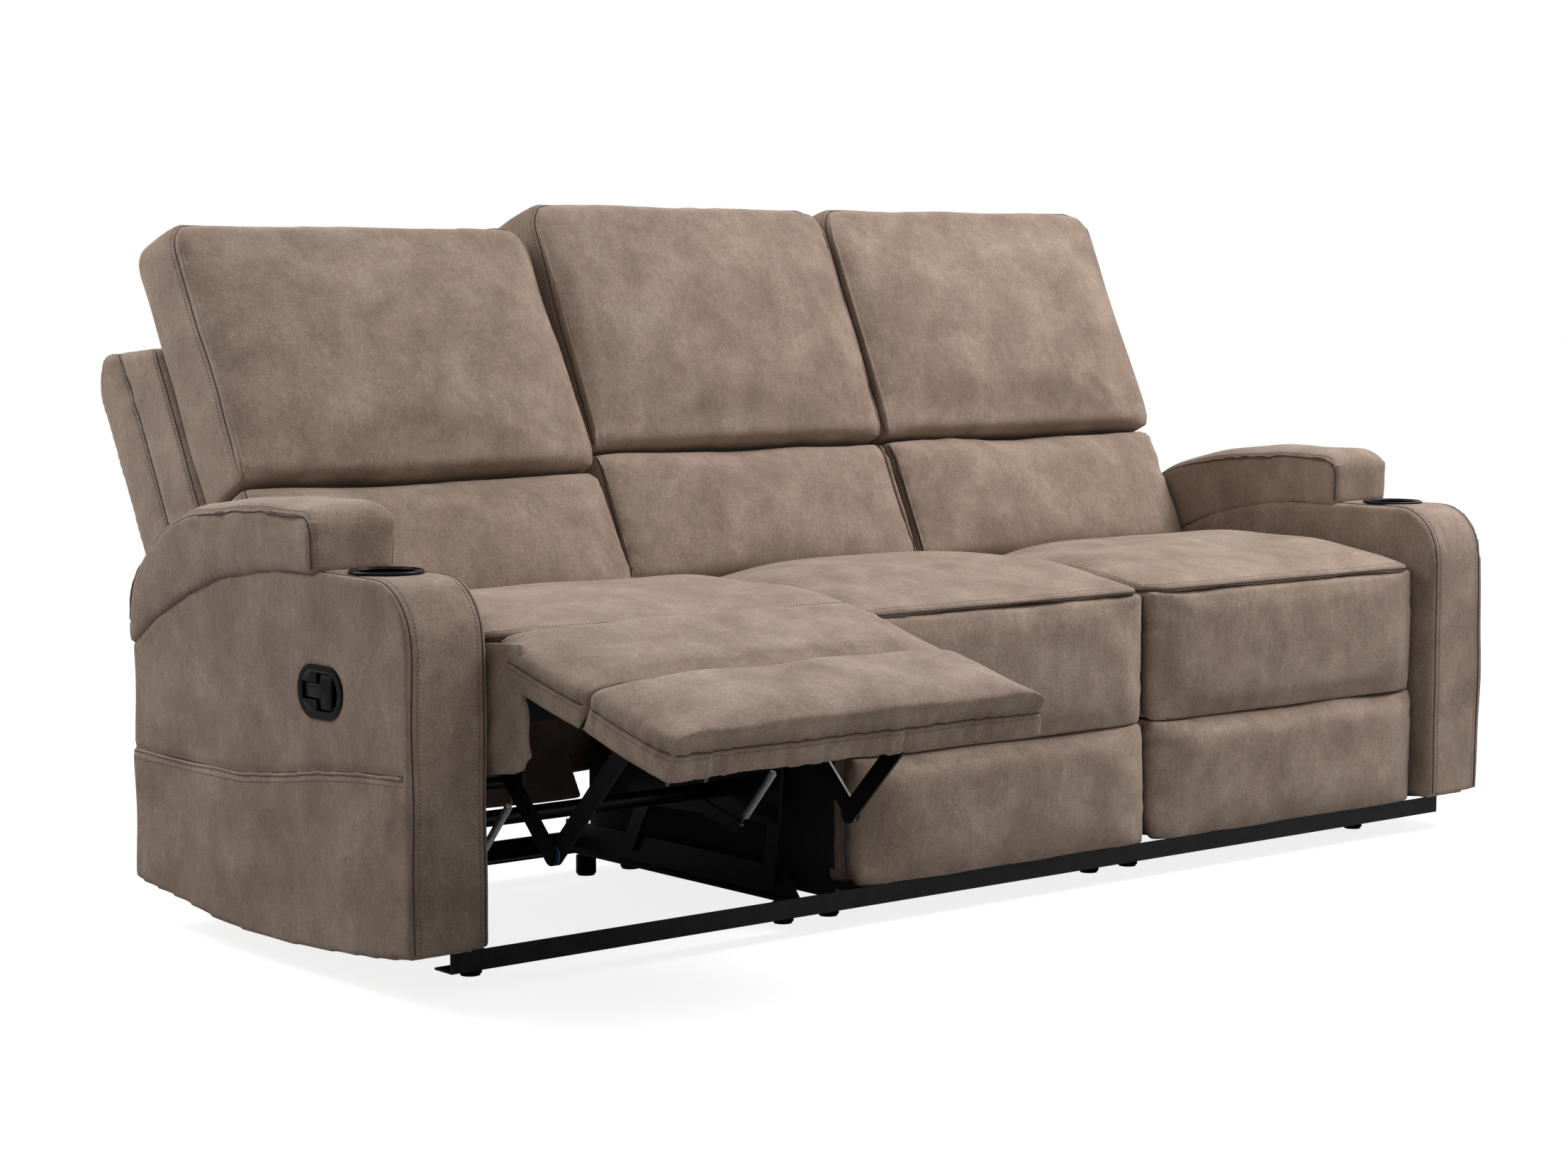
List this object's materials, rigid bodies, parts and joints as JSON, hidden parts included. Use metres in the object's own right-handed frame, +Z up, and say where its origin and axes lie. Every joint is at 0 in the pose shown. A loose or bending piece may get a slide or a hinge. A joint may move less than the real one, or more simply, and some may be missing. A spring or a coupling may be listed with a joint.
{
  "type": "reclining sofa",
  "caption": "Three-seat upholstered sofa with a manual recliner at each end, cup holders in the arms and pull levers that let the footrests out.",
  "frame": {"origin": "on the floor under the middle of the sofa as it stands with the footrest at -X out", "axes": "+X along the sofa, seats face -Y, +Z up"},
  "size_m": [2.052, 1.3942, 0.9897],
  "materials": {
    "upholstery": "brushed taupe-brown microfibre with a nubuck look",
    "lining": "black nonwoven lining",
    "black_steel": "semi-gloss black paint",
    "zinc": "bright zinc plate",
    "black_plastic": "black moulded plastic",
    "black_board": "board under black lining",
    "cable": "black sheathed cable",
    "wood": "sawn plywood and pine"
  },
  "bodies": {
    "root": {"cross_rails": "black_steel", "side_rails": "black_steel", "glide_feet": "black_plastic", "left_arm_outer_panel": "upholstery", "right_arm_outer_panel": "upholstery", "arm_inner_panels": "upholstery", "arm_bands": "upholstery", "left_arm_pad": "upholstery", "right_arm_pad": "upholstery", "arm_frames": "wood", "cup_holders": "black_plastic", "lever_bezels": "black_plastic", "release_cables": "cable", "middle_seat_cushion": "upholstery", "middle_calf_panel": "upholstery", "middle_foot_panel": "upholstery", "middle_seat_box": "wood", "middle_side_liners": "lining", "middle_seat_springs": "zinc", "middle_back_frame": "upholstery", "middle_head_cushion": "upholstery", "middle_lumbar_cushion": "upholstery"},
    "left_front_link": {"left_front_base_links": "black_steel"},
    "left_rear_link": {"left_rear_base_links": "black_steel"},
    "left_seat": {"left_side_plates": "black_steel", "left_cross_tubes": "black_steel", "left_seat_frame": "black_steel", "left_seat_springs": "zinc", "left_seat_cushion": "upholstery", "left_seat_wings": "upholstery", "left_return_springs": "zinc"},
    "left_swing_link": {"left_swing_links": "black_steel"},
    "left_long_link": {"left_long_links": "black_steel"},
    "left_footrest": {"left_ottoman_frame": "black_board", "left_calf_pad": "upholstery", "left_foot_pad": "upholstery"},
    "left_back": {"left_back_brackets": "black_steel", "left_back_frame": "upholstery", "left_head_cushion": "upholstery", "left_lumbar_cushion": "upholstery"},
    "left_lever": {"left_release_lever": "black_plastic"},
    "right_front_link": {"right_front_base_links": "black_steel"},
    "right_rear_link": {"right_rear_base_links": "black_steel"},
    "right_seat": {"right_side_plates": "black_steel", "right_cross_tubes": "black_steel", "right_seat_frame": "black_steel", "right_seat_springs": "zinc", "right_seat_cushion": "upholstery", "right_seat_wings": "upholstery", "right_return_springs": "zinc"},
    "right_swing_link": {"right_swing_links": "black_steel"},
    "right_long_link": {"right_long_links": "black_steel"},
    "right_footrest": {"right_ottoman_frame": "black_board", "right_calf_pad": "upholstery", "right_foot_pad": "upholstery"},
    "right_back": {"right_back_brackets": "black_steel", "right_back_frame": "upholstery", "right_head_cushion": "upholstery", "right_lumbar_cushion": "upholstery"},
    "right_lever": {"right_release_lever": "black_plastic"}
  },
  "joints": [
    {"name": "left_footrest_fold", "type": "hinge", "parent": "left_seat", "child": "left_footrest", "pos_m": [0, -0.33758, 0.44852], "axis": [-1, 0, 0], "range_deg": [-72, 0]},
    {"name": "left_front_link_swing", "type": "hinge", "parent": "root", "child": "left_front_link", "pos_m": [0, -0.18801, 0.062], "axis": [-1, 0, 0], "range_deg": [0, 34.05]},
    {"name": "left_seat_tip", "type": "hinge", "parent": "left_front_link", "child": "left_seat", "pos_m": [0, -0.20054, 0.15112], "axis": [-1, 0, 0], "range_deg": [-38.05, 0]},
    {"name": "left_rear_link_swing", "type": "hinge", "parent": "root", "child": "left_rear_link", "pos_m": [0, 0.1363, 0.062], "axis": [-1, 0, 0], "range_deg": [0, 33.24]},
    {"name": "left_swing_link_turn", "type": "hinge", "parent": "left_seat", "child": "left_swing_link", "pos_m": [0, -0.21608, 0.33677], "axis": [-1, 0, 0], "range_deg": [-79.52, 0]},
    {"name": "left_long_link_turn", "type": "hinge", "parent": "left_swing_link", "child": "left_long_link", "pos_m": [0, -0.38177, 0.17493], "axis": [-1, 0, 0], "range_deg": [0, 57.26]},
    {"name": "left_back_recline", "type": "hinge", "parent": "left_seat", "child": "left_back", "pos_m": [0, 0.25987, 0.27642], "axis": [-1, 0, 0], "range_deg": [0, 24]},
    {"name": "left_lever_pull", "type": "hinge", "parent": "root", "child": "left_lever", "pos_m": [-1.0155, -0.10601, 0.369], "axis": [0, 0, -1], "range_deg": [0, 28], "stiffness_Nm_per_rad": 1.2, "springref_deg": -8.59},
    {"name": "right_footrest_fold", "type": "hinge", "parent": "right_seat", "child": "right_footrest", "pos_m": [0, -0.30601, 0.43], "axis": [-1, 0, 0], "range_deg": [0, 72]},
    {"name": "right_front_link_swing", "type": "hinge", "parent": "root", "child": "right_front_link", "pos_m": [0, -0.18801, 0.062], "axis": [-1, 0, 0], "range_deg": [-34.05, 0]},
    {"name": "right_seat_tip", "type": "hinge", "parent": "right_front_link", "child": "right_seat", "pos_m": [0, -0.14856, 0.14289], "axis": [-1, 0, 0], "range_deg": [0, 38.05]},
    {"name": "right_rear_link_swing", "type": "hinge", "parent": "root", "child": "right_rear_link", "pos_m": [0, 0.1363, 0.062], "axis": [-1, 0, 0], "range_deg": [-33.24, 0]},
    {"name": "right_swing_link_turn", "type": "hinge", "parent": "right_seat", "child": "right_swing_link", "pos_m": [0, -0.17702, 0.327], "axis": [-1, 0, 0], "range_deg": [0, 79.52]},
    {"name": "right_long_link_turn", "type": "hinge", "parent": "right_swing_link", "child": "right_long_link", "pos_m": [0, -0.03506, 0.14399], "axis": [-1, 0, 0], "range_deg": [-57.26, 0]},
    {"name": "right_back_recline", "type": "hinge", "parent": "right_seat", "child": "right_back", "pos_m": [0, 0.30199, 0.3], "axis": [-1, 0, 0], "range_deg": [0, 24]},
    {"name": "right_lever_pull", "type": "hinge", "parent": "root", "child": "right_lever", "pos_m": [1.0155, -0.10601, 0.369], "axis": [0, 0, 1], "range_deg": [0, 28], "stiffness_Nm_per_rad": 1.2, "springref_deg": -8.59}
  ],
  "couplings": [
    {"joint": "left_front_link_swing", "follows": "left_footrest_fold", "ratio": -0.47222},
    {"joint": "left_seat_tip", "follows": "left_footrest_fold", "ratio": 0.52778},
    {"joint": "left_rear_link_swing", "follows": "left_footrest_fold", "ratio": -0.46102},
    {"joint": "left_swing_link_turn", "follows": "left_footrest_fold", "ratio": 1.1038},
    {"joint": "left_long_link_turn", "follows": "left_footrest_fold", "ratio": -0.79464},
    {"joint": "right_front_link_swing", "follows": "right_footrest_fold", "ratio": -0.47222},
    {"joint": "right_seat_tip", "follows": "right_footrest_fold", "ratio": 0.52778},
    {"joint": "right_rear_link_swing", "follows": "right_footrest_fold", "ratio": -0.46102},
    {"joint": "right_swing_link_turn", "follows": "right_footrest_fold", "ratio": 1.1038},
    {"joint": "right_long_link_turn", "follows": "right_footrest_fold", "ratio": -0.79464}
  ]
}
